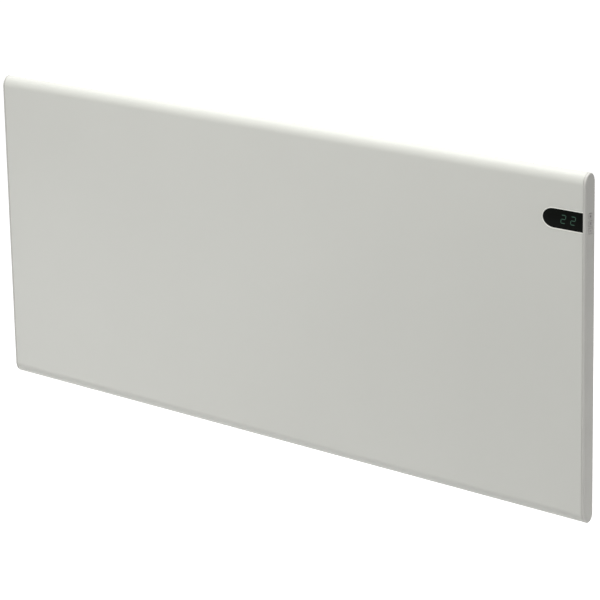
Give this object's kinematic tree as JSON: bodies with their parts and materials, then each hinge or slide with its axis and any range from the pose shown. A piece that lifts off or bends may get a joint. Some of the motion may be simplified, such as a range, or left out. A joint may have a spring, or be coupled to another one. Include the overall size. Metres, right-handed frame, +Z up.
{
  "type": "wall panel convector heater",
  "caption": "Slim wall panel convector heater with a rolled sheet front, moulded end caps, display, slotted rear cover and a hook-on wall bracket.",
  "frame": {"origin": "middle of the wall bracket's back face, in the plane of the wall", "axes": "+X to the right as seen from the room, +Y into the wall, +Z up; the front faces -Y"},
  "size_m": [0.8533, 0.084, 0.37],
  "materials": {
    "paint": "satin warm light grey powder paint",
    "moulding": "fine-textured moulding, matched to the paint",
    "window": "glossy black",
    "black_plastic": "moulded, semi-matt",
    "zinc_steel": "zinc-plated sheet",
    "aluminium": "plain",
    "ceramic": "unglazed ceramic",
    "circuit_board": "solder mask",
    "screw_steel": "bright zinc",
    "lead_sleeve": "silicone sleeve"
  },
  "bodies": {
    "heater": {"board_screw_1": "screw_steel", "board_screw_2": "screw_steel", "bracket_arm_left": "zinc_steel", "bracket_arm_right": "zinc_steel", "cable_gland": "black_plastic", "cap_screw_1": "screw_steel", "cap_screw_2": "screw_steel", "cap_screw_3": "screw_steel", "cap_screw_4": "screw_steel", "catch_spring_left": "screw_steel", "catch_spring_right": "screw_steel", "ceramic_bush_left": "ceramic", "ceramic_bush_right": "ceramic", "control_board": "circuit_board", "control_lead": "lead_sleeve", "cover_screw_1": "screw_steel", "cover_screw_2": "screw_steel", "cover_screw_3": "screw_steel", "cover_screw_4": "screw_steel", "cover_screw_5": "screw_steel", "cover_screw_6": "screw_steel", "cover_screw_7": "screw_steel", "cover_screw_8": "screw_steel", "display_carrier": "black_plastic", "display_module": "black_plastic", "display_window": "window", "element_holder_left": "zinc_steel", "element_holder_right": "zinc_steel", "element_rod": "zinc_steel", "end_cap_left": "moulding", "end_cap_right": "moulding", "front_panel": "paint", "gland_nut": "black_plastic", "heat_shield": "aluminium", "heating_fins": "aluminium", "holder_screw_1": "screw_steel", "holder_screw_2": "screw_steel", "key_board": "circuit_board", "lead_live": "lead_sleeve", "lead_neutral": "lead_sleeve", "overheat_cutout": "black_plastic", "power_board": "circuit_board", "power_carrier": "black_plastic", "rear_cover": "paint", "rivet_1": "screw_steel", "rivet_2": "screw_steel", "rivet_3": "screw_steel", "rivet_4": "screw_steel", "sensor_lead": "lead_sleeve", "temperature_sensor": "black_plastic", "terminal_block": "ceramic", "wall_rail": "zinc_steel"},
    "button_minus": {"button_minus": "moulding"},
    "button_menu": {"button_menu": "moulding"},
    "button_plus": {"button_plus": "moulding"},
    "catch_left": {"catch_left": "black_plastic"},
    "catch_right": {"catch_right": "black_plastic"}
  },
  "joints": [
    {"name": "minus_press", "type": "slide", "parent": "heater", "child": "button_minus", "axis": [-1, 0, 0], "range_m": [0, 0.0006], "stiffness_N_per_m": 400, "springref_m": -0.0006},
    {"name": "menu_press", "type": "slide", "parent": "heater", "child": "button_menu", "axis": [-1, 0, 0], "range_m": [0, 0.0006], "stiffness_N_per_m": 400, "springref_m": -0.0006},
    {"name": "plus_press", "type": "slide", "parent": "heater", "child": "button_plus", "axis": [-1, 0, 0], "range_m": [0, 0.0006], "stiffness_N_per_m": 400, "springref_m": -0.0006},
    {"name": "catch_left_slide", "type": "slide", "parent": "heater", "child": "catch_left", "axis": [0, 0, -1], "range_m": [0, 0.008], "stiffness_N_per_m": 400, "springref_m": -0.01, "deforming": ["catch_spring_left"]},
    {"name": "catch_right_slide", "type": "slide", "parent": "heater", "child": "catch_right", "axis": [0, 0, -1], "range_m": [0, 0.008], "stiffness_N_per_m": 400, "springref_m": -0.01, "deforming": ["catch_spring_right"]}
  ]
}
